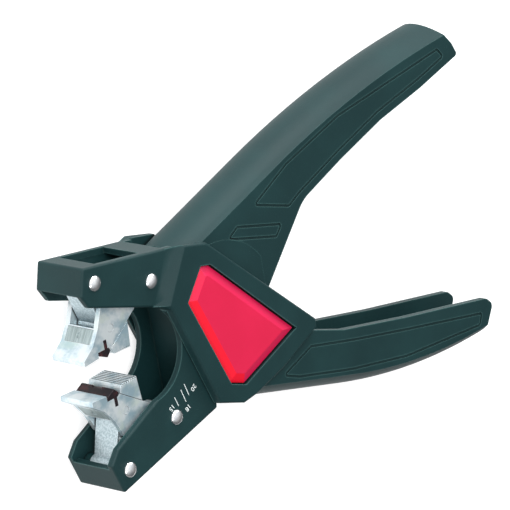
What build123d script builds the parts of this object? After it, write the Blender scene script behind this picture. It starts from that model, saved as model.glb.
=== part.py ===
from build123d import *
from math import atan2, cos, degrees, hypot, radians, sin, sqrt
import os

os.makedirs("parts", exist_ok=True)

# Automatic wire stripper, lying on its side.
# X runs along the tool towards the handles, Y across it towards the upper arm, Z is its thickness.
# The origin is where the pivot's axis meets the flat underside.

# Driving sizes of the two mouldings
body_width = 24.7           # over the side walls
side_wall = 2.5             # thickness of one side wall
turning_gap = 0.3           # between the lever and the side walls, on each side
arm_wall = 2.0              # side wall of the hollow arms
arm_roof = 1.9              # outer wall of the hollow arms
handle_inset = 0.2          # the handles are this much narrower than the arms, on each side
handle_wall = 2.4
crown_sag = 4.0             # rise of the handles' round backs
hub_radius = 23.5           # lever's hub, turning between the side walls
hub_gap = 0.6               # between the hub and the frame around it
edge_round = 0.8
small_round = 0.5

# Front arms
arm_front_x = -50.2
arm_nose = {1: (-52.7, 27.2), -1: (-53.4, 25.6)}
arm_side_low = {1: (-50.4, 23.0), -1: (-49.9, 21.6)}
arm_top_y = {1: 35.2, -1: 35.4}
arm_top_slope = {1: 0.19, -1: 0.235}
arm_mouth_slope = {1: 0.38, -1: 0.4286}
front_wall_y = 27.0         # the front wall stops here, short of the mouth
arm_rear_x = -14.5
lever_corner_x = -8.7
floor_front_x = -2.0
ledge_x = -11.0
cavity_rear_x = -13.0
front_wall = 2.2
window_front_x = -43.6
window_rear_x = -26.1
bridge_rear_x = -17.7
window_width = 14.7

# Throat between the arms
throat_centre = (-32.3, 0.8)
throat_radius = 14.6
throat_front_x = -31.2

# Rivets and jaw linkage, for the upper arm at rest
front_rivet_at = (-46.7, 29.3)
rear_rivet_at = (-25.0, 21.6)
link_pin_at = (-41.5, 13.0)
closing_angle = 27.0        # travel of the lever
cut_gap = 0.15              # from each cutting edge to the middle when closed
rivet_radius = 1.5
rivet_head_radius = 2.35
rivet_head_height = 1.1
running_clearance = 0.05
roller_radius = 2.2
slot_play = 0.2             # room around the roller over the whole travel
slot_wall = 1.0
spacer_radius = 2.4

# Jaws
jaw_gap = 0.85              # between the block and the arm's side walls
link_width = 9.4
link_thickness = 2.2
link_eye_radius = 2.6
link_pin_eye_radius = 2.1
link_pin_radius = 1.2
link_room = 0.3             # around the link in the block's recess
tail_width = 6.0
mouth_height = 5.0          # cutting edges above the middle at rest
block_top_y = 21.2
block_step_x = -36.2        # where the block's full height ends
slide_foot = (-42.9, 7.1)   # front end of the block's sloping back
slide_angle = 34.2
slide_length = 18.6
slide_wall = 2.0
blade_fit = 0.05
tang_x = (-45.2, -44.0)
tang_top = 10.4
blade_seat_y = 7.75
notch_width = 4.4
notch_depth = 2.2
shoe_gap = 0.15
shoe_length = 10.0
shoe_travel = 5.0
rib_width = 4.0
rib_height = 1.0
rib_length = 6.0
plate_thickness = 0.8
plate_width = 10.6
plate_front = (-49.5, 10.2)
plate_back = (-46.4, 14.6)
groove_pitch = 0.9

# Pivot, return spring and label plates
pin_radius = 4.0
pin_head_radius = 6.5
pin_head_height = 1.0
bush_wall = 1.2
clip_thickness = 0.6
clip_radius = 6.0
clip_groove = 0.6
label_depth = 1.5
label_gap = 0.3
label_bevel = 3.0
label_bevel_depth = 1.1
spring_wire = 1.6
spring_radius = 7.8
spring_turns = 4
spring_pitch = 1.75
spring_room = 0.5
jaw_spring_wire = 0.9
jaw_spring_turns = 2
jaw_spring_gap = 0.5        # between the link and the jaw spring's leg

# Outline grooves on the handles
panel_groove_width = 0.8
panel_groove_depth = 0.4

mid = body_width / 2
wall_inner = mid - side_wall
arm_half = wall_inner - turning_gap
cavity_half = arm_half - arm_wall
handle_half = arm_half - handle_inset
jaw_half = cavity_half - jaw_gap
bush_radius = pin_radius + running_clearance + bush_wall
hub_room = hub_radius + hub_gap
pocket_floor = mid - label_depth
slot_half = roller_radius + slot_play


def turned(vector, angle):
    """A vector turned about Z by an angle in degrees."""
    a = radians(angle)
    return (vector[0] * cos(a) - vector[1] * sin(a), vector[0] * sin(a) + vector[1] * cos(a))


def plus(a, b):
    return (a[0] + b[0], a[1] + b[1])


def minus(a, b):
    return (a[0] - b[0], a[1] - b[1])


def sides_of(points, side):
    """The same points on the upper (1) or the lower (-1) arm."""
    return [(x, side * y) for x, y in points]


def arm_top(x, side):
    """Distance of an arm's outer edge from the middle line."""
    return arm_top_y[side] - arm_top_slope[side] * (x - arm_front_x)


def arm_mouth(x, side):
    """Distance of an arm's mouth edge from the middle line."""
    return arm_side_low[side][1] - arm_mouth_slope[side] * (x - arm_side_low[side][0])


def level(height):
    """The sketch plane at a height above the tool's middle plane."""
    return Plane.XY.offset(mid + height)


def up_from(point, height=0):
    """An upright axis's foot: a point of the side view at a height above the middle plane."""
    return (point[0], point[1], mid + height)


def on_slide(along, out=0):
    """A point by its distance along the block's sloping back and out of the block's metal."""
    return plus(slide_foot, turned((along, -out), slide_angle))


def near(items, points):
    """The vertices closest to the given points."""
    return [items.sort_by_distance(point)[0] for point in points]


def finish(name, builder):
    """Name a finished piece and write it."""
    builder.part.label = name
    export_step(builder.part, "parts/" + name + ".step")


# Linkage: where the rear rivet is, seen from the jaw block, while the blades close to the middle line
link_vector = minus(link_pin_at, front_rivet_at)
link_length = hypot(*link_vector)
closed_rivet = turned(front_rivet_at, closing_angle / 2)
closed_drop = closed_rivet[1] - (link_pin_at[1] - mouth_height) - cut_gap
closed_angle = degrees(atan2(-closed_drop, sqrt(link_length ** 2 - closed_drop ** 2)))
link_turn = closed_angle - degrees(atan2(link_vector[1], link_vector[0])) - closing_angle / 2


def roller_in_block(share):
    """Place of the rear rivet as the jaw block sees it, at a share of the travel."""
    pin = plus(front_rivet_at, turned(link_vector, share * link_turn))
    return plus(link_pin_at, turned(minus(rear_rivet_at, pin), share * closing_angle / 2))


# Handles: a side view cut out of a bar whose round back follows the crown line
def crown_bar(start, bend, end, side):
    with BuildLine(level(0)) as path:
        run = Line(start, bend)
        TangentArc(bend, end, tangent=run % 1)
    with BuildPart() as bar:
        with BuildSketch(Plane(origin=path.line @ 0, x_dir=(0, 0, 1), z_dir=path.line % 0)):
            with BuildLine():
                ThreePointArc((-handle_half, side * crown_sag), (0, 0), (handle_half, side * crown_sag))
                Polyline(
                    (handle_half, side * crown_sag),
                    (handle_half, side * 48),
                    (-handle_half, side * 48),
                    (-handle_half, side * crown_sag),
                )
            make_face()
        sweep(path=path.line)
    return bar.part


def handle(bar, outline, rounds, channel, panels):
    """A handle with its channel and the outline grooves on both sides."""
    with BuildPart() as piece:
        with BuildSketch(level(-handle_half)) as view:
            Polygon(*outline, align=None)
            for radius, points in rounds:
                fillet(near(view.vertices(), points), radius)
        extrude(amount=2 * handle_half)
        add(bar, mode=Mode.INTERSECT)
        with BuildSketch(level(-handle_half + handle_wall)):
            Polygon(*channel, align=None)
        extrude(amount=2 * (handle_half - handle_wall), mode=Mode.SUBTRACT)
        for height in (handle_half - panel_groove_depth, -handle_half):
            with BuildSketch(level(height)) as grooves:
                for panel in panels:
                    with BuildSketch(mode=Mode.PRIVATE) as ring:
                        Polygon(*panel, align=None)
                        fillet(ring.vertices(), 1.0)
                        offset(amount=-panel_groove_width, mode=Mode.SUBTRACT)
                    add(ring.sketch)
            extrude(amount=panel_groove_depth, mode=Mode.SUBTRACT)
    return piece.part


upper_handle = handle(
    crown_bar((-30.0, 21.0), (30.0, 39.5), (135.0, 54.3), 1),
    [
        (-12.6, 19.8), (ledge_x, 60.0), (108.5, 60.0), (110.3, 54.9), (113.8, 50.2), (116.6, 46.4),
        (118.4, 42.2), (99.5, 37.7), (79.8, 34.1), (60.0, 28.4), (41.5, 22.2), (21.5, 2.1), (10.0, -5.0),
    ],
    [(2.0, [(110.3, 54.9), (113.8, 50.2), (116.6, 46.4)]), (1.0, [(118.4, 42.2)]), (12.0, [(41.5, 22.2)])],
    [
        (24.0, 0.0), (24.0, 33.1), (30.0, 34.8), (50.0, 40.0), (70.0, 44.1), (92.0, 47.2), (104.0, 48.0),
        (125.0, 43.0), (125.0, 30.0), (60.0, 0.0),
    ],
    [
        [
            (20.1, 28.1), (35.3, 22.2), (40.2, 24.5), (59.2, 30.9), (79.2, 36.7), (99.0, 40.3), (112.4, 43.5),
            (109.8, 47.2), (61.8, 42.3), (37.0, 35.8),
        ],
        [(7.2, 21.9), (12.6, 24.7), (31.6, 18.6), (28.0, 15.1)],
    ],
)
lower_handle = handle(
    crown_bar((-20.0, -21.3), (48.8, -42.3), (122.0, -50.6), -1),
    [
        (floor_front_x, -12.0), (floor_front_x, -60.0), (103.0, -60.0), (105.5, -51.3), (112.1, -48.6),
        (116.8, -41.2), (114.2, -38.4), (77.4, -30.3), (49.4, -23.4), (36.0, -18.2), (20.9, -12.0),
    ],
    [(2.0, [(112.1, -48.6), (116.8, -41.2), (114.2, -38.4)])],
    [
        (36.5, -10.0), (36.5, -33.8), (48.8, -37.5), (60.0, -40.5), (72.5, -43.0), (90.0, -45.5),
        (125.0, -45.5), (125.0, -10.0),
    ],
    [
        [
            (34.3, -22.4), (52.8, -27.6), (76.6, -33.6), (111.6, -42.0), (109.6, -46.0), (74.5, -42.6),
            (50.4, -37.2), (27.3, -30.4), (19.9, -27.0),
        ],
    ],
)


# Front arms: solid first, the hollow for the jaws is cut after they are joined to the rest
def arm(side, outline):
    with BuildPart() as piece:
        with BuildSketch(level(-arm_half)) as view:
            Polygon(*outline, align=None)
            fillet(near(view.vertices(), sides_of([arm_nose[side], arm_side_low[side]], side)), small_round)
            fillet(near(view.vertices(), [(arm_front_x, side * arm_top_y[side])]), edge_round)
        extrude(amount=2 * arm_half)
        rims = piece.edges().filter_by(Plane.XY).filter_by(lambda e: e.center().X < arm_rear_x - 1)
        fillet(rims, edge_round)
    return piece.part


def hollow_arm(side, rear_x, rear_y):
    """Cuts the room for the jaws, open to the mouth, and the window in the arm's outer wall."""
    front = arm_front_x + front_wall
    roof = [(x, arm_top(x, side) - arm_roof) for x in (front - 1.1, rear_x)]
    outline = [(-60.0, front_wall_y), (arm_nose[1][0] + front_wall, front_wall_y), *roof, (rear_x, rear_y)]
    outline.append((-60.0, rear_y))
    with BuildSketch(level(-cavity_half)) as room:
        Polygon(*sides_of(outline, side), align=None)
    extrude(room.sketch, amount=2 * cavity_half, mode=Mode.SUBTRACT)
    window_length = window_rear_x - window_front_x
    with BuildSketch(level(-window_width / 2)) as window:
        with Locations((window_front_x + window_length / 2, side * (arm_top_y[side] - 3))):
            Rectangle(window_length, 12)
        fillet(window.vertices(), small_round)
    extrude(window.sketch, amount=window_width, mode=Mode.SUBTRACT)


def rivet_holes(side):
    with Locations(*[up_from(p) for p in sides_of([front_rivet_at, rear_rivet_at], side)]):
        Cylinder(rivet_radius, 2 * mid, mode=Mode.SUBTRACT)


upper_arm = arm(
    1,
    [
        (arm_front_x, arm_top_y[1]), arm_nose[1], arm_side_low[1], (arm_rear_x, arm_mouth(arm_rear_x, 1)),
        (arm_rear_x, arm_top(arm_rear_x, 1)),
    ],
)
lower_arm = arm(
    -1,
    sides_of(
        [
            (arm_front_x, arm_top_y[-1]), arm_nose[-1], arm_side_low[-1],
            (throat_front_x, arm_mouth(throat_front_x, -1)), (-27.2, 11.0), (-24.0, 6.0), (0.0, 0.0),
            (lever_corner_x + 0.7, 22.0), (lever_corner_x, arm_top(lever_corner_x, -1)),
        ],
        -1,
    ),
)

# Frame: side walls around the pivot, the upper arm and the lower handle in one moulding
wall_face = [
    (-11.6, 28.6), (-3.2, 25.7), (35.5, -13.6), (35.5, -16.5), (19.2, -23.1), (6.2, -26.6), (0.6, -27.2),
    (-9.0, -23.4), (-21.2, 11.2), (-21.8, 12.9),
]
wall_foot = [
    (-17.4, 28.9), (-3.2, 25.7), (35.5, -13.6), (35.5, -16.5), (19.2, -23.1), (6.2, -26.6), (0.6, -27.2),
    (-9.8, -23.2), (-21.8, 11.4), (-26.0, 13.8),
]
label_outline = [(-7.3, 19.9), (-3.4, 18.9), (26.7, -13.2), (2.4, -21.9), (-3.5, -19.4), (-14.9, 11.1)]
spring_peg_at = (spring_radius, 0.0)

with BuildPart() as body_frame:
    with BuildSketch(level(-arm_half)):
        Polygon(*wall_foot, align=None)
    extrude(amount=2 * arm_half)
    for up in (1, -1):
        with BuildSketch(level(up * arm_half)):
            Polygon(*wall_foot, align=None)
        with BuildSketch(level(up * mid)):
            Polygon(*wall_face, align=None)
        loft(ruled=True)
    rims = body_frame.edges().filter_by(lambda e: abs(abs(e.center().Z - mid) - mid) < 0.01)
    fillet(rims, edge_round)
    for height in (pocket_floor, -mid):
        with BuildSketch(level(height)):
            Polygon(*label_outline, align=None)
        extrude(amount=label_depth, mode=Mode.SUBTRACT)
    with BuildSketch(level(-wall_inner)):
        Circle(hub_room)
        Polygon((floor_front_x, 0), (floor_front_x, -40), (-40, -40), (-40, 0), align=None)
        Polygon(
            (arm_rear_x, 0), (arm_rear_x, 45), (60, 45), (60, -18.2), (36, -18.2), (20.9, -12.0), align=None
        )
    extrude(amount=2 * wall_inner, mode=Mode.SUBTRACT)
    add(upper_arm)
    add(lower_handle)
    with BuildSketch(level(-wall_inner)):
        Circle(hub_room)
    extrude(amount=2 * wall_inner, mode=Mode.SUBTRACT)
    hollow_arm(1, arm_rear_x + 1, 0.0)
    with BuildSketch(level(-cavity_half)):
        with Locations(((bridge_rear_x + arm_rear_x + 1) / 2, 25)):
            Rectangle(arm_rear_x + 1 - bridge_rear_x, 16)
    extrude(amount=2 * cavity_half, mode=Mode.SUBTRACT)
    rivet_holes(1)
    with Locations(up_from((0, 0))):
        Cylinder(pin_radius, body_width, mode=Mode.SUBTRACT)
    with Locations(up_from(spring_peg_at, mid - side_wall / 2)):
        Cylinder(spring_wire / 2 + running_clearance, side_wall, mode=Mode.SUBTRACT)
finish("body_frame", body_frame)

# Lever: lower arm, hub and upper handle in one moulding
with BuildPart() as lever:
    with BuildSketch(level(-arm_half)):
        Circle(hub_radius)
        with Locations((hub_radius + 20, 0)):
            Rectangle(2 * hub_radius, 4 * hub_radius, mode=Mode.SUBTRACT)
    extrude(amount=2 * arm_half)
    add(lower_arm)
    with BuildSketch(level(-arm_half)):
        with Locations(throat_centre):
            Circle(throat_radius)
    extrude(amount=2 * arm_half, mode=Mode.SUBTRACT)
    add(upper_handle)
    hollow_arm(-1, cavity_rear_x, -21.0)
    rivet_holes(-1)
    with Locations(up_from((0, 0))):
        Cylinder(bush_radius, body_width, mode=Mode.SUBTRACT)
    with BuildSketch(level(-spring_room)):
        Circle(spring_radius + spring_wire / 2 + spring_room)
        Circle(bush_radius + bush_wall, mode=Mode.SUBTRACT)
    extrude(amount=mid, mode=Mode.SUBTRACT)
    with BuildSketch(level(-spring_room - spring_wire * 2)):
        SlotArc(CenterArc((0, 0), spring_radius, 0, closing_angle).edge(), spring_wire + 2 * spring_room)
    extrude(amount=spring_wire * 2 + 0.1, mode=Mode.SUBTRACT)
finish("lever", lever)

# Label plates in the pockets of the side walls
with BuildPart() as front_label:
    with BuildSketch(level(pocket_floor)) as base:
        Polygon(*label_outline, align=None)
        offset(amount=-label_gap, kind=Kind.INTERSECTION, mode=Mode.REPLACE)
    extrude(amount=label_depth - label_bevel_depth)
    with BuildSketch(level(mid - label_bevel_depth)):
        add(base.sketch.moved(Location((0, 0, label_depth - label_bevel_depth))))
    with BuildSketch(level(mid)):
        Polygon(*label_outline, align=None)
        offset(amount=-label_gap - label_bevel, kind=Kind.INTERSECTION, mode=Mode.REPLACE)
    loft(ruled=True)
    with BuildSketch(level(pocket_floor)):
        Circle(pin_head_radius + label_gap)
    extrude(amount=pin_head_height + 0.1, mode=Mode.SUBTRACT)
finish("front_label", front_label)

with BuildPart() as rear_label:
    add(mirror(front_label.part, about=level(0), mode=Mode.PRIVATE))
finish("rear_label", rear_label)

# Pivot: pin with a flat head, retaining ring on its far end, bush in the lever
with BuildPart() as pivot_pin:
    with Locations(up_from((0, 0), pocket_floor)):
        Cylinder(pin_head_radius, pin_head_height, align=(Align.CENTER, Align.CENTER, Align.MIN))
    fillet(pivot_pin.edges().sort_by(Axis.Z)[-1], 0.3)
    pin_end = -pocket_floor - clip_thickness - 0.4
    with Locations(up_from((0, 0), pin_end)):
        Cylinder(pin_radius, pocket_floor - pin_end, align=(Align.CENTER, Align.CENTER, Align.MIN))
    with BuildSketch(level(-pocket_floor)):
        Circle(pin_radius + 1)
        Circle(pin_radius - clip_groove, mode=Mode.SUBTRACT)
    extrude(amount=-clip_thickness, mode=Mode.SUBTRACT)
finish("pivot_pin", pivot_pin)

with BuildPart() as pivot_clip:
    with BuildSketch(level(-pocket_floor - clip_thickness)):
        Circle(clip_radius)
        Circle(pin_radius - clip_groove, mode=Mode.SUBTRACT)
        with Locations((0, -clip_radius)):
            Rectangle(3.0, clip_radius, mode=Mode.SUBTRACT)
    extrude(amount=clip_thickness)
finish("pivot_clip", pivot_clip)

with BuildPart() as pivot_bush:
    with BuildSketch(level(-arm_half - turning_gap / 2)):
        Circle(bush_radius)
        Circle(pin_radius + running_clearance, mode=Mode.SUBTRACT)
    extrude(amount=2 * arm_half + turning_gap)
finish("pivot_bush", pivot_bush)

# Return spring: coil in the hub's ring pocket, one peg in the frame's wall, one in the hub's arc slot
with BuildPart() as return_spring:
    with BuildLine(Plane(origin=up_from((0, 0), spring_wire / 2))) as coil:
        Helix(pitch=spring_pitch, height=spring_pitch * spring_turns, radius=spring_radius)
    with BuildSketch(Plane(origin=coil.line @ 0, z_dir=coil.line % 0)):
        Circle(spring_wire / 2)
    sweep(path=coil.line, is_frenet=True)
    coil_top = spring_wire / 2 + spring_pitch * spring_turns
    for height, end in ((coil_top, pocket_floor - 0.1), (spring_wire / 2, -spring_wire * 2)):
        with Locations(up_from(spring_peg_at, height)):
            Sphere(spring_wire / 2)
        with Locations(up_from(spring_peg_at, (height + end) / 2)):
            Cylinder(spring_wire / 2 - running_clearance, abs(end - height))
finish("return_spring", return_spring)


# Pieces of the upper arm's jaw set; the lower set is their mirror image
def rivet(point):
    """A rivet through an arm with a domed head on each side."""
    with BuildPart() as piece:
        for turn in (0, 180):
            with BuildSketch(level(0 if turn == 0 else -arm_half)):
                with Locations(point):
                    Circle(rivet_radius)
            extrude(amount=arm_half)
            with BuildSketch(level(arm_half if turn == 0 else -arm_half - rivet_head_height)):
                with Locations(point):
                    Circle(rivet_head_radius)
            extrude(amount=rivet_head_height)
        rims = piece.edges().filter_by(GeomType.CIRCLE).sort_by(Axis.Z)
        fillet([rims[0], rims[-1]], rivet_head_height * 0.9)
    return piece


front_rivet = rivet(front_rivet_at)
rear_rivet = rivet(rear_rivet_at)

with BuildPart() as spacers:
    for height in (link_width / 2 + running_clearance, -cavity_half + running_clearance):
        with BuildSketch(level(height)):
            with Locations(front_rivet_at):
                Circle(spacer_radius)
                Circle(rivet_radius + running_clearance, mode=Mode.SUBTRACT)
        extrude(amount=cavity_half - link_width / 2 - 2 * running_clearance)

with BuildPart() as slot_roller:
    with BuildSketch(level(-tail_width / 2)):
        with Locations(rear_rivet_at):
            Circle(roller_radius)
            Circle(rivet_radius + running_clearance, mode=Mode.SUBTRACT)
    extrude(amount=tail_width)

link_angle = degrees(atan2(link_vector[1], link_vector[0]))
with BuildPart() as link:
    with BuildSketch(level(-link_width / 2)):
        with Locations(front_rivet_at):
            Circle(link_eye_radius)
        with Locations(link_pin_at):
            Circle(link_pin_eye_radius)
        link_centre = plus(front_rivet_at, (link_vector[0] / 2, link_vector[1] / 2))
        with Locations(Location((*link_centre, 0), link_angle)):
            Rectangle(link_length, link_thickness)
        with Locations(front_rivet_at):
            Circle(rivet_radius + running_clearance, mode=Mode.SUBTRACT)
        with Locations(link_pin_at):
            Circle(link_pin_radius, mode=Mode.SUBTRACT)
    extrude(amount=link_width)
    fillet(link.edges().filter_by(Plane.XY).filter_by(GeomType.LINE), 0.3)

with BuildPart() as link_pin:
    with Locations(up_from(link_pin_at)):
        Cylinder(link_pin_radius, 2 * jaw_half - 0.2)

# Jaw block: body with the lip, sloping back for the shoe, slotted tail for the roller
slot_line = ThreePointArc(*[roller_in_block(share) for share in (0, 0.5, 1)])
link_sweep = closing_angle / 2 + link_turn
link_room_radius = link_pin_eye_radius + link_room
plate_run = minus(plate_back, plate_front)
plate_length = hypot(*plate_run)
plate_angle = degrees(atan2(plate_run[1], plate_run[0]))
plate_centre = plus(plate_front, (plate_run[0] / 2, plate_run[1] / 2))
plate_along = turned((1, 0), plate_angle)
plate_out = turned((0, 1), plate_angle)
plate_plane = Plane(origin=up_from(plate_centre), x_dir=(*plate_along, 0), z_dir=(*plate_out, 0))
with BuildPart() as jaw_block:
    with BuildSketch(level(-jaw_half)) as view:
        Polygon(
            (-53.8, mouth_height + 0.6), (-53.8, 7.2), plate_front, plate_back, (-43.8, 20.3),
            (-42.6, block_top_y), (block_step_x, block_top_y),
            (block_step_x, 17.2), (-34.8, 16.9), (-32.9, 16.9),
            on_slide(slide_length, -slide_wall), on_slide(slide_length), slide_foot,
            (slide_foot[0] - 0.65, blade_seat_y), (-47.9, blade_seat_y), (-48.0, 6.0), align=None,
        )
        fillet(near(view.vertices(), [(-53.8, 7.2), (-53.8, mouth_height + 0.6)]), 0.4)
    extrude(amount=2 * jaw_half)
    with BuildSketch(level(-tail_width / 2)):
        SlotArc(slot_line, 2 * (slot_half + slot_wall))
        Polygon(
            (block_step_x, block_top_y), on_slide(slide_length * 0.4, -slide_wall / 2),
            on_slide(slide_length, -slide_wall / 2), roller_in_block(0.5), align=None,
        )
    extrude(amount=tail_width)
    with BuildSketch(level(-tail_width)):
        SlotArc(slot_line, 2 * slot_half)
    extrude(amount=2 * tail_width, mode=Mode.SUBTRACT)
    with BuildSketch(level(-link_width / 2 - link_room)):
        with Locations(link_pin_at):
            Circle(link_room_radius)
        for share in (0, 0.25, 0.5, 0.75, 1):
            turn = degrees(atan2(-link_vector[1], -link_vector[0])) + share * link_sweep
            centre = plus(link_pin_at, turned((10, 0), turn))
            with Locations(Location((*centre, 0), turn)):
                Rectangle(20, link_thickness + 2 * link_room)
    extrude(amount=link_width + 2 * link_room, mode=Mode.SUBTRACT)
    with Locations(up_from(link_pin_at)):
        Cylinder(link_pin_radius + running_clearance, body_width, mode=Mode.SUBTRACT)
    with BuildSketch(level(-jaw_half)):
        with Locations(((tang_x[0] + tang_x[1]) / 2, (blade_seat_y + tang_top + blade_fit) / 2 - 0.5)):
            Rectangle(tang_x[1] - tang_x[0] + 2 * blade_fit, tang_top + blade_fit - blade_seat_y + 1)
    extrude(amount=2 * jaw_half, mode=Mode.SUBTRACT)
    groove_length = rib_length + shoe_travel + 0.6
    with BuildSketch(level(-rib_width / 2 - shoe_gap)):
        with Locations(Location((*on_slide(0.8 + groove_length / 2, -rib_height / 2), 0), slide_angle)):
            Rectangle(groove_length, rib_height + 0.2)
    extrude(amount=rib_width + 2 * shoe_gap, mode=Mode.SUBTRACT)
    with BuildSketch(plate_plane):
        Rectangle(plate_length - 0.8, plate_width)
    extrude(amount=-plate_thickness, mode=Mode.SUBTRACT)

with BuildPart() as jaw_plate:
    with BuildSketch(plate_plane):
        Rectangle(plate_length - 0.9, plate_width - 0.1)
    extrude(amount=-plate_thickness)
    with BuildSketch(plate_plane):
        Circle(0.9)
    extrude(amount=-0.3, mode=Mode.SUBTRACT)

# Blade: tang in the block's slot, foot with a cutting edge and a round-wire notch in the middle
with BuildPart() as blade:
    with BuildSketch(level(-jaw_half)):
        Polygon(
            (tang_x[0], tang_top), (tang_x[0], blade_seat_y - 0.1), (-47.6, blade_seat_y - 0.1), (-47.8, 6.6),
            (-44.6, mouth_height), (-43.0, 6.6), (-43.6, blade_seat_y - 0.1), (tang_x[1], blade_seat_y - 0.1),
            (tang_x[1], tang_top), align=None,
        )
    extrude(amount=2 * jaw_half)
    with BuildSketch(Plane(origin=(-50, mouth_height, mid), x_dir=(0, 0, 1), z_dir=(1, 0, 0))):
        Polygon((-notch_width / 2, -0.5), (notch_width / 2, -0.5), (0, notch_depth), align=None)
    extrude(amount=10, mode=Mode.SUBTRACT)

# Grip shoe: serrated wedge with a guide rib, sliding on the block's sloping back
shoe_front = on_slide(0.4, shoe_gap)
shoe_rear = on_slide(shoe_length, shoe_gap)
with BuildPart() as grip_shoe:
    with BuildSketch(level(-jaw_half)):
        Polygon(shoe_front, (-41.6, mouth_height), (-35.2, mouth_height - 0.3), shoe_rear, align=None)
        with Locations(*[(-41.0 + groove_pitch * i, mouth_height - 0.1) for i in range(7)]):
            Rectangle(0.35, 0.7, mode=Mode.SUBTRACT)
    extrude(amount=2 * jaw_half)
    with BuildSketch(level(-rib_width / 2)):
        with Locations(Location((*on_slide(1 + rib_length / 2, -rib_height / 2 + 0.2), 0), slide_angle)):
            Rectangle(rib_length, rib_height)
    extrude(amount=rib_width)

# Jaw spring: coil on the rear rivet, straight leg along the block's back, bent tip
coil_radius = rivet_radius + 0.15 + jaw_spring_wire / 2
leg_end = (-44.6, block_top_y + 0.7)
leg_run = minus(leg_end, plus(rear_rivet_at, (0, coil_radius)))
leg_angle = degrees(atan2(leg_run[1], leg_run[0])) + 180
leg_level = link_width / 2 + jaw_spring_gap + jaw_spring_wire / 2
coil_level = leg_level - jaw_spring_turns * (jaw_spring_wire + 0.05)
with BuildPart() as jaw_spring:
    coil_start = turned((0, 1), leg_angle)
    coil_plane = Plane(origin=up_from(rear_rivet_at, coil_level), x_dir=(*coil_start, 0), z_dir=(0, 0, 1))
    with BuildLine(coil_plane) as coil:
        Helix(pitch=jaw_spring_wire + 0.05, height=leg_level - coil_level, radius=coil_radius)
    with BuildSketch(Plane(origin=coil.line @ 0, z_dir=coil.line % 0)):
        Circle(jaw_spring_wire / 2)
    sweep(path=coil.line, is_frenet=True)
    leg_start = plus(rear_rivet_at, turned((0, coil_radius), leg_angle))
    tip = plus(leg_end, (-0.4, -1.2))
    for start, end in ((leg_start, leg_end), (leg_end, tip)):
        with Locations(up_from(start, leg_level)):
            Sphere(jaw_spring_wire / 2)
        run = minus(end, start)
        with BuildSketch(Plane(origin=up_from(start, leg_level), z_dir=(*run, 0))):
            Circle(jaw_spring_wire / 2)
        extrude(amount=hypot(*run))

jaw_set = {
    "front_rivet": front_rivet,
    "rear_rivet": rear_rivet,
    "spacers": spacers,
    "slot_roller": slot_roller,
    "link": link,
    "link_pin": link_pin,
    "jaw_block": jaw_block,
    "jaw_plate": jaw_plate,
    "blade": blade,
    "grip_shoe": grip_shoe,
    "jaw_spring": jaw_spring,
}
for name, piece in jaw_set.items():
    finish("upper_" + name, piece)
    with BuildPart() as mirrored:
        add(mirror(piece.part, about=Plane.XZ, mode=Mode.PRIVATE))
    finish("lower_" + name, mirrored)
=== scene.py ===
import bpy
import math
from mathutils import Matrix, Vector


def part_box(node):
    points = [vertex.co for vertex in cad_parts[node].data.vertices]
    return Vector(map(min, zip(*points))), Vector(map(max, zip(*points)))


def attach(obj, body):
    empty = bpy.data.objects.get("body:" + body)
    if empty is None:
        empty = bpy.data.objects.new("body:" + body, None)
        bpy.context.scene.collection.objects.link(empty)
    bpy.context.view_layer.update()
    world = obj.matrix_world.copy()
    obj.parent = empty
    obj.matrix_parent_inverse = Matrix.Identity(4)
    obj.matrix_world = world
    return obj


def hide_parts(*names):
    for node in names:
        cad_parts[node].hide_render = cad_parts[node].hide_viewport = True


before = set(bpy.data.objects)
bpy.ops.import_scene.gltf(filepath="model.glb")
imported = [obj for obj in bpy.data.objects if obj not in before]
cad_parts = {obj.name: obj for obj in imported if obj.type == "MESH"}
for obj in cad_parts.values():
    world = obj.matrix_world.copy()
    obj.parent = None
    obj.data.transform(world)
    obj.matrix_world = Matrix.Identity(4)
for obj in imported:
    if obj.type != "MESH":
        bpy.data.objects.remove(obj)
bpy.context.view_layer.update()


# Mouldings: the fixed handle with the upper arm, and the lever with the lower arm.
# Glass-filled nylon from spark-eroded moulds, so it has a fine matt grain with light glass specks, small
# rounds on all edges, and paler edges and corners that are partly rubbed wear and partly painted
# highlight; grooves and gaps carry painted shade.
MM = 0.001
MIX_FACTOR, MIX_FIRST, MIX_SECOND, MIX_RESULT = 0, 6, 7, 2  # a colour mix's sockets, by their place


class Value:
    """A number that a shader works out, with arithmetic written as plain sums and products."""

    def __init__(self, nodes, socket):
        self.nodes = nodes
        self.socket = socket

    def math(self, operation, first, second):
        node = self.nodes.add("ShaderNodeMath", {"operation": operation}, {0: first, 1: second})
        return Value(self.nodes, node.outputs[0])

    def __add__(self, other):
        return self.math("ADD", self, other)

    def __radd__(self, other):
        return self.math("ADD", other, self)

    def __sub__(self, other):
        return self.math("SUBTRACT", self, other)

    def __rsub__(self, other):
        return self.math("SUBTRACT", other, self)

    def __mul__(self, other):
        return self.math("MULTIPLY", self, other)

    def __rmul__(self, other):
        return self.math("MULTIPLY", other, self)

    def step(self, low, high, start=0.0, end=1.0):
        """start below low, end above high, smooth between."""
        sockets = {"Value": self, "From Min": low, "From Max": high, "To Min": start, "To Max": end}
        node = self.nodes.add("ShaderNodeMapRange", {"interpolation_type": "SMOOTHSTEP"}, sockets)
        return Value(self.nodes, node.outputs["Result"])


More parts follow.
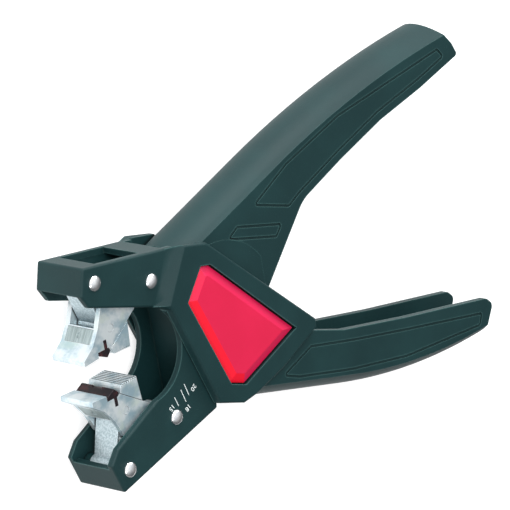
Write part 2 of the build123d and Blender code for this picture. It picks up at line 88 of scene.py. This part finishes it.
class Nodes:
    """A shader tree, and the one method that adds a node to it."""

    def __init__(self, tree):
        self.tree = tree

    def fill(self, node, sockets):
        """Gives each socket its number, vector or colour, or links it to another node's output."""
        for key, value in sockets.items():
            if isinstance(value, Value):
                value = value.socket
            if isinstance(value, bpy.types.NodeSocket):
                self.tree.links.new(value, node.inputs[key])
            else:
                node.inputs[key].default_value = value

    def add(self, kind, settings=None, sockets=None):
        node = self.tree.nodes.new(kind)
        for key, value in (settings or {}).items():
            setattr(node, key, value)
        self.fill(node, sockets or {})
        return node

    def dot(self, first, second):
        settings = {"operation": "DOT_PRODUCT"}
        node = self.add("ShaderNodeVectorMath", settings, {0: first, 1: second})
        return Value(self, node.outputs["Value"])


class Look(Nodes):
    """A material with its principled shader, and the patterns that every look here is built from."""

    def __init__(self, name):
        self.material = bpy.data.materials.new(name)
        self.material.use_nodes = True
        super().__init__(self.material.node_tree)
        self.shader = self.tree.nodes["Principled BSDF"]
        self.place = self.add("ShaderNodeTexCoord").outputs["Object"]

    def stretched(self, x, y, z):
        sockets = {"Scale": (x, y, z), "Vector": self.place}
        return self.add("ShaderNodeMapping", sockets=sockets).outputs[0]

    def noise(self, scale, detail, rough, place=None, distort=0):
        node = self.add("ShaderNodeTexNoise", sockets={
            "Vector": place or self.place, "Scale": scale, "Detail": detail,
            "Roughness": rough, "Distortion": distort,
        })
        return Value(self, node.outputs["Fac"])

    def cells(self, scale):
        sockets = {"Vector": self.place, "Scale": scale}
        return Value(self, self.add("ShaderNodeTexVoronoi", sockets=sockets).outputs["Distance"])

    def normal(self):
        return self.add("ShaderNodeNewGeometry").outputs["Normal"]

    def facing(self, x, y, z):
        """How far the surface faces a direction of the piece's own frame, from -1 to 1."""
        settings = {"vector_type": "NORMAL", "convert_from": "WORLD", "convert_to": "OBJECT"}
        turned = self.add("ShaderNodeVectorTransform", settings, {0: self.normal()})
        return self.dot(turned.outputs[0], Vector((x, y, z)).normalized())

    def edges(self, reach):
        """1 along edges and corners, 0 on flats, over a reach in millimetres."""
        rounded = self.add("ShaderNodeBevel", {"samples": 6}, {"Radius": reach * MM})
        return (1 - self.dot(rounded.outputs[0], self.normal())).step(0.06, 0.24)

    def crevice(self, reach):
        """1 deep in grooves and gaps up to a reach in millimetres, 0 in the open."""
        open_air = self.add("ShaderNodeAmbientOcclusion", {"samples": 8}, {"Distance": reach * MM})
        return (1 - Value(self, open_air.outputs["AO"])).step(0.22, 0.62)

    def mix(self, factor, first, second):
        """The first colour where the factor is 0 and the second where it is 1."""
        sockets = {MIX_FACTOR: factor}
        for key, colour in ((MIX_FIRST, first), (MIX_SECOND, second)):
            sockets[key] = (*colour, 1) if isinstance(colour, tuple) else colour
        return self.add("ShaderNodeMix", {"data_type": "RGBA"}, sockets).outputs[MIX_RESULT]

    def bumps(self, *layers):
        """Bump layers of (height, depth in millimetres), coarse first."""
        under = {}
        for height, depth in layers:
            sockets = {"Height": height, "Distance": depth * MM, "Strength": 1.0, **under}
            under = {"Normal": self.add("ShaderNodeBump", sockets=sockets).outputs[0]}
        self.fill(self.shader, under)

    def surface(self, sockets):
        self.fill(self.shader, sockets)
        return self.material


def soft_copy(node, body, material, rounds, corner=35):
    """A merged copy of a CAD piece that stands for it, with small rounds on its edges.

    The rounds' width is in millimetres, and an edge that turns by less than corner degrees gets none.
    """
    bpy.ops.object.select_all(action="DESELECT")
    piece = bpy.data.objects.new(node + "_piece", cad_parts[node].data.copy())
    bpy.context.collection.objects.link(piece)
    bpy.context.view_layer.objects.active = piece
    piece.select_set(True)
    bpy.ops.object.mode_set(mode="EDIT")
    bpy.ops.mesh.select_all(action="SELECT")
    bpy.ops.mesh.customdata_custom_splitnormals_clear()
    bpy.ops.mesh.remove_doubles(threshold=0.002 * MM)
    bpy.ops.mesh.dissolve_limited(angle_limit=math.radians(0.5))
    bpy.ops.object.mode_set(mode="OBJECT")
    if rounds:
        bevel = piece.modifiers.new("rounds", "BEVEL")
        bevel.width = rounds * MM
        bevel.segments = 3
        bevel.limit_method = "ANGLE"
        bevel.angle_limit = math.radians(corner)
        bpy.ops.object.modifier_apply(modifier=bevel.name)
    bpy.ops.object.shade_smooth_by_angle(angle=math.radians(corner))
    flats = piece.modifiers.new("flats", "WEIGHTED_NORMAL")
    flats.keep_sharp = True
    bpy.ops.object.modifier_apply(modifier=flats.name)
    piece.data.materials.clear()
    piece.data.materials.append(material)
    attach(piece, body)
    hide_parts(node)


def nylon():
    look = Look("moulded_nylon")
    patches = look.noise(38, 5, 0.6)
    grain = look.noise(2600, 3, 0.6)
    specks = look.noise(3600, 2, 0.5).step(0.66, 0.74)
    wear_and_highlight = look.edges(0.9)
    dark_green, light_green = (0.0030, 0.0185, 0.0200), (0.0045, 0.0240, 0.0255)
    colour = look.mix(patches.step(0.35, 0.7), dark_green, light_green)
    colour = look.mix(specks * 0.35, colour, (0.04, 0.08, 0.08))
    # Edges and corners lightened towards pale teal: partly rubbed wear, partly painted highlight.
    colour = look.mix(wear_and_highlight * (0.2 + 0.9 * grain), colour, (0.050, 0.120, 0.118))
    # Painted shade: grooves and gaps darkened towards near black by an ambient-occlusion mask.
    colour = look.mix(look.crevice(1.4) * 0.85, colour, (0.0008, 0.0016, 0.0020))
    look.bumps((patches, 0.10), (grain, 0.04))
    rough = 0.46 + patches * 0.12 + grain * 0.08 - wear_and_highlight * 0.12
    return look.surface({"Base Color": colour, "Roughness": rough, "Specular IOR Level": 0.2})


dark = nylon()
arms = {"upper_": "root", "lower_": "lever"}  # how each arm's pieces are named, and its own body
soft_copy("body_frame", "root", dark, rounds=0.5)
soft_copy("lever", "lever", dark, rounds=0.6)
for side, body in arms.items():
    soft_copy(side + "spacers", body, dark, rounds=0.2)


# Label plates: red plastic plates, bevelled all round and pressed into the pockets of both side walls.
# Nearly even colour with a faint orange peel and a few hairline scratches. Painted light on the bevels:
# bevels lighter than the flat top, a painted highlight on the bevel facing the front, and a paler rim
# that is partly wear and partly painted highlight.
def label_red():
    look = Look("label_red")
    haze = look.noise(55, 4, 0.5)
    peel = look.noise(900, 2, 0.5)
    hair = look.noise(420, 6, 0.7, look.stretched(1, 14, 1), distort=0.4).step(0.72, 0.76)
    wear_and_highlight = look.edges(0.5)
    colour = look.mix(haze.step(0.3, 0.7), (0.43, 0.004, 0.037), (0.48, 0.005, 0.044))
    # Painted light: the bevels made lighter than the flat top.
    flat_top = look.facing(0, 0, 1).step(0.955, 0.98)
    colour = look.mix((1 - flat_top) * 0.5, colour, (0.50, 0.008, 0.066))
    # Painted highlight: the bevel that faces the front brightened to a stronger red.
    lit_front_bevel = look.facing(-0.936, -0.35, 0).step(0.12, 0.22)
    colour = look.mix(lit_front_bevel, colour, (0.62, 0.002, 0.018))
    colour = look.mix(hair * 0.15, colour, (0.9, 0.12, 0.18))
    # Paler rim along the edges: partly wear, partly painted highlight.
    colour = look.mix(wear_and_highlight * 0.35, colour, (0.85, 0.06, 0.12))
    look.bumps((peel, 0.012))
    rough = 0.30 + haze * 0.12 + hair * 0.15
    return look.surface({"Base Color": colour, "Roughness": rough, "Specular IOR Level": 0.4})


red = label_red()
for label in ("front_label", "rear_label"):
    soft_copy(label, "root", red, rounds=0.25, corner=12)


# Rivets: nickel-plated steel with pressed domes, polished, with fine rings and tiny dents.
def rivet_steel():
    look = Look("nickel_rivet")
    rings = look.noise(1800, 3, 0.5)
    dents = look.noise(600, 3, 0.6)
    colour = look.mix(dents.step(0.4, 0.65), (0.72, 0.75, 0.78), (0.90, 0.91, 0.92))
    look.bumps((dents, 0.01), (rings, 0.005))
    rough = 0.14 + dents * 0.12
    return look.surface({"Base Color": colour, "Roughness": rough, "Metallic": 1.0})


def round_bar(name, profile, place):
    """A turned piece: rings of (radius, height) from the bottom up, drawn out of a round blank."""
    bpy.ops.object.select_all(action="DESELECT")
    radius, height = profile[0]
    bpy.ops.mesh.primitive_circle_add(
        vertices=48, fill_type="NGON", radius=radius, location=(*place, height),
    )
    piece = bpy.context.object
    bpy.ops.object.transform_apply(location=True, rotation=True, scale=True)
    bpy.ops.object.mode_set(mode="EDIT")
    bpy.ops.mesh.select_all(action="SELECT")
    for next_radius, next_height in profile[1:]:
        rise = (0, 0, next_height - height)
        bpy.ops.mesh.extrude_region_move(TRANSFORM_OT_translate={"value": rise})
        grow = next_radius / radius
        centre = (*place, next_height)
        bpy.ops.transform.resize(value=(grow, grow, 1), center_override=centre)
        radius, height = next_radius, next_height
    bpy.ops.mesh.select_all(action="SELECT")
    bpy.ops.mesh.normals_make_consistent(inside=False)
    bpy.ops.object.mode_set(mode="OBJECT")
    bpy.ops.object.shade_smooth_by_angle(angle=math.radians(40))
    piece.name = name
    piece.data.name = name
    return piece


bright = rivet_steel()
dome_height = 1.1 * MM
dome_angles = [math.radians(angle) for angle in range(10, 83, 12)]  # from the crown to the rim
shank_share = 0.64  # the shank's radius, as a share of the head's
for side, body in arms.items():
    for rivet in ("front_rivet", "rear_rivet"):
        low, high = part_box(side + rivet)
        head = (high.x - low.x) / 2
        shank = shank_share * head
        lower_dome = [
            (head * math.sin(angle), low.z + dome_height * (1 - math.cos(angle)))
            for angle in dome_angles
        ]
        upper_dome = [(radius, low.z + high.z - height) for radius, height in reversed(lower_dome)]
        lower_rim, upper_rim = low.z + dome_height, high.z - dome_height
        middle = [(head, lower_rim), (shank, lower_rim), (shank, upper_rim), (head, upper_rim)]
        profile = lower_dome + middle + upper_dome
        piece = round_bar(side + rivet + "_piece", profile, ((low + high) / 2).xy)
        piece.data.materials.append(bright)
        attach(piece, body)
        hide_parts(side + rivet)


# Links, rollers, pivot pin and bush: cold-drawn steel, zinc plated, mottled blue-grey with rubbed edges.
# The pin and the rollers are turned, the links are stamped, and all are held by the rivets or the pin.
def zinc_steel():
    look = Look("zinc_steel")
    mottle = look.noise(1700, 4, 0.7)
    drawn = look.noise(900, 3, 0.6, look.stretched(3, 0.4, 3))
    colour = look.mix(mottle.step(0.40, 0.60), (0.30, 0.38, 0.41), (0.50, 0.58, 0.61))
    colour = look.mix(look.edges(0.4) * 0.8, colour, (0.85, 0.88, 0.90))
    look.bumps((mottle, 0.03), (drawn, 0.03))
    rough = 0.30 + mottle * 0.25
    return look.surface({"Base Color": colour, "Roughness": rough, "Metallic": 0.75})


zinc = zinc_steel()
soft_copy("pivot_pin", "root", zinc, rounds=0.15)
soft_copy("pivot_bush", "lever", zinc, rounds=0.15)
for side, body in arms.items():
    soft_copy(side + "link", side + "link", zinc, rounds=0.2)
    soft_copy(side + "slot_roller", body, zinc, rounds=0.15)


# Jaw blocks and grip shoes: die-cast zinc, tumbled and plated, with soft clouds of blue and green,
# small casting pits and bright rubbed edges. The pin that joins each block to its link is plated with it.
def diecast():
    look = Look("diecast_zinc")
    clouds = look.noise(140, 5, 0.6)
    tint = look.noise(210, 3, 0.5, look.stretched(1, 1, 0.5))
    pits = look.cells(900).step(0.0, 0.22)
    fine = look.noise(2400, 3, 0.6)
    colour = look.mix(clouds.step(0.38, 0.62), (0.30, 0.42, 0.48), (0.62, 0.68, 0.70))
    colour = look.mix(tint.step(0.52, 0.68) * 0.35, colour, (0.50, 0.60, 0.50))
    colour = look.mix(look.edges(0.35) * 0.7, colour, (0.90, 0.93, 0.95))
    # Painted shade: gaps and hollows darkened to near black by an ambient-occlusion mask.
    colour = look.mix(look.crevice(0.7) * 0.9, colour, (0.03, 0.035, 0.045))
    look.bumps((clouds, 0.06), (pits, 0.02), (fine, 0.02))
    rough = 0.26 + clouds * 0.16 + fine * 0.06
    return look.surface({"Base Color": colour, "Roughness": rough, "Metallic": 0.75})


cast = diecast()
for side in arms:
    soft_copy(side + "jaw_block", side + "jaw", cast, rounds=0.22)
    soft_copy(side + "grip_shoe", side + "shoe", cast, rounds=0.08)
    soft_copy(side + "link_pin", side + "link", cast, rounds=0.05)


# Inset plates in the blocks' front faces: greyer sheet, ground flat across the thickness.
def plate_steel():
    look = Look("ground_plate")
    grind = look.noise(700, 4, 0.6, look.stretched(0.15, 0.15, 6))
    clouds = look.noise(160, 4, 0.6)
    colour = look.mix(grind.step(0.3, 0.7), (0.20, 0.25, 0.25), (0.36, 0.43, 0.44))
    colour = look.mix(look.edges(0.3) * 0.6, colour, (0.7, 0.75, 0.78))
    look.bumps((grind, 0.03), (clouds, 0.05))
    rough = 0.36 + clouds * 0.2
    return look.surface({"Base Color": colour, "Roughness": rough, "Metallic": 0.7})


sheet = plate_steel()
for side in arms:
    soft_copy(side + "jaw_plate", side + "jaw", sheet, rounds=0.1)


# Blades: hardened tool steel, oil-blackened, with reddish temper colours and a bare ground cutting edge.
def blade_steel():
    look = Look("blackened_blade")
    temper = look.noise(420, 4, 0.6, look.stretched(1, 1, 0.6))
    grind = look.noise(1500, 3, 0.6, look.stretched(4, 4, 0.3))
    colour = look.mix(temper.step(0.48, 0.66), (0.012, 0.009, 0.012), (0.055, 0.016, 0.018))
    colour = look.mix(look.edges(0.25) * 0.5, colour, (0.30, 0.24, 0.26))
    look.bumps((grind, 0.03))
    rough = 0.32 + grind * 0.2
    return look.surface({"Base Color": colour, "Roughness": rough, "Metallic": 0.6})


hard = blade_steel()
for side in arms:
    soft_copy(side + "blade", side + "jaw", hard, rounds=0.05)


# Springs and the retaining ring: drawn spring wire with fine lines along it and a light oil film.
def spring_wire():
    look = Look("spring_wire")
    lines = look.noise(1600, 3, 0.6, look.stretched(0.3, 3, 3))
    film = look.noise(300, 4, 0.6)
    colour = look.mix(film.step(0.35, 0.65), (0.45, 0.45, 0.44), (0.75, 0.75, 0.73))
    look.bumps((lines, 0.02))
    rough = 0.22 + film * 0.18
    return look.surface({"Base Color": colour, "Roughness": rough, "Metallic": 0.9})


wire = spring_wire()
soft_copy("pivot_clip", "root", wire, rounds=0.08)
soft_copy("return_spring", "root", wire, rounds=0, corner=60)
for side, body in arms.items():
    soft_copy(side + "jaw_spring", body, wire, rounds=0, corner=60)


# Pad-printed white scale on the lever's near face: three lines and their numbers.
# They show how far the cable's end is from the blades, and are read with the tool turned round.
def white_ink():
    look = Look("white_ink")
    cover = look.noise(1500, 4, 0.6)
    colour = look.mix(cover.step(0.3, 0.6), (0.42, 0.48, 0.48), (0.66, 0.71, 0.71))
    look.bumps((cover, 0.01))
    return look.surface({"Base Color": colour, "Roughness": 0.5 + cover * 0.15})


ink = white_ink()
face_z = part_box("lever")[1][2]
ink_thickness = 0.04 * MM
line_width = 0.19 * MM
number_size = 2.2 * MM
number_turn = math.radians(212)


def printed(piece, name):
    piece.name = name
    piece.data.name = name
    piece.data.materials.clear()
    piece.data.materials.append(ink)
    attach(piece, "lever")


# Each number, the two ends of its line and its own middle, in millimetres.
marks = {
    "15": ((-24.5, -15.5), (-23.5, -18.6), (-26.3, -18.1)),
    "18": ((-21.5, -14.3), (-20.3, -18.6), (-20.0, -20.6)),
    "20": ((-19.8, -13.1), (-18.7, -17.1), (-16.4, -15.6)),
}
for word, (top, bottom, centre) in marks.items():
    bpy.ops.object.select_all(action="DESELECT")
    start = Vector((*top, 0)) * MM
    end = Vector((*bottom, 0)) * MM
    run = end - start
    bpy.ops.mesh.primitive_cube_add(
        size=1, location=(*((start + end) / 2).xy, face_z + ink_thickness / 2),
        rotation=(0, 0, math.atan2(run.y, run.x)), scale=(run.length, line_width, ink_thickness),
    )
    bpy.ops.object.transform_apply(location=True, rotation=True, scale=True)
    printed(bpy.context.object, "mark_" + word)

    bpy.ops.object.text_add(
        location=(centre[0] * MM, centre[1] * MM, face_z), rotation=(0, 0, number_turn),
    )
    text = bpy.context.object
    text.data.body = word
    text.data.size = number_size
    text.data.align_x = "CENTER"
    text.data.align_y = "CENTER"
    text.data.extrude = ink_thickness
    bpy.ops.object.convert(target="MESH")
    bpy.ops.object.transform_apply(location=True, rotation=True, scale=True)
    printed(bpy.context.object, "number_" + word)


# Studio: a glowing white floor just under the tool, a sky that is brighter above and behind it,
# and four soft lamps.
floor_gap = 0.4 * MM
bpy.ops.object.select_all(action="DESELECT")
bpy.ops.mesh.primitive_plane_add(size=6, location=(0, 0, -floor_gap))
floor = bpy.context.object
floor.name = "floor"
paper = Look("paper")
tone = paper.mix(paper.noise(3, 3, 0.5), (0.44, 0.44, 0.44), (0.48, 0.48, 0.48))
floor.data.materials.append(paper.surface({
    "Base Color": tone, "Roughness": 0.85, "Emission Color": (1, 1, 1, 1), "Emission Strength": 0.72,
}))

world = bpy.data.worlds.new("studio")
bpy.context.scene.world = world
world.use_nodes = True
sky = Nodes(world.node_tree)
direction = sky.add("ShaderNodeTexCoord").outputs["Generated"]
brightest = Vector((-0.25, 0.75, 0.6)).normalized()
glow = sky.dot(direction, brightest).step(-0.35, 0.75, start=0.18, end=1.15)
sky.fill(sky.tree.nodes["Background"], {"Color": glow, "Strength": 1.0})
bpy.context.scene.view_settings.view_transform = "Standard"


def lamp(name, place, target, size, power):
    data = bpy.data.lights.new(name, "AREA")
    data.shape = "RECTANGLE"
    data.size, data.size_y = size
    data.energy = power
    item = bpy.data.objects.new(name, data)
    bpy.context.collection.objects.link(item)
    item.location = place
    item.rotation_euler = (Vector(target) - Vector(place)).to_track_quat("-Z", "Y").to_euler()


lamp("key", (-0.35, 0.55, 0.70), (0.0, 0.0, 0.0), (0.5, 0.5), 8)
lamp("top", (0.16, 0.80, 0.16), (0.05, 0.03, 0.01), (0.30, 0.10), 5.5)
lamp("side", (-0.75, -0.25, 0.40), (0.0, 0.0, 0.0), (0.25, 0.6), 3)
lamp("rim", (0.55, 0.50, 0.35), (0.03, 0.0, 0.0), (0.3, 0.5), 3)


# Camera: long lens, above and in front of the jaws, tilted so that the tool stands on its lower handle.
right = Vector((0.672854, -0.164194, 0.721324))
up = Vector((0.355572, 0.926821, -0.120708))
back = Vector((-0.648719, 0.337702, 0.681998))
turn = Matrix((right, up, back)).transposed().to_4x4()
lens = bpy.data.cameras.new("view_camera")
lens.sensor_fit = "AUTO"
lens.angle = math.radians(6.9687)
lens.clip_end = 20
camera = bpy.data.objects.new("view_camera", lens)
bpy.context.collection.objects.link(camera)
camera.matrix_world = Matrix.Translation(Vector((-0.791258, 0.434565, 0.872349))) @ turn
bpy.context.scene.camera = camera
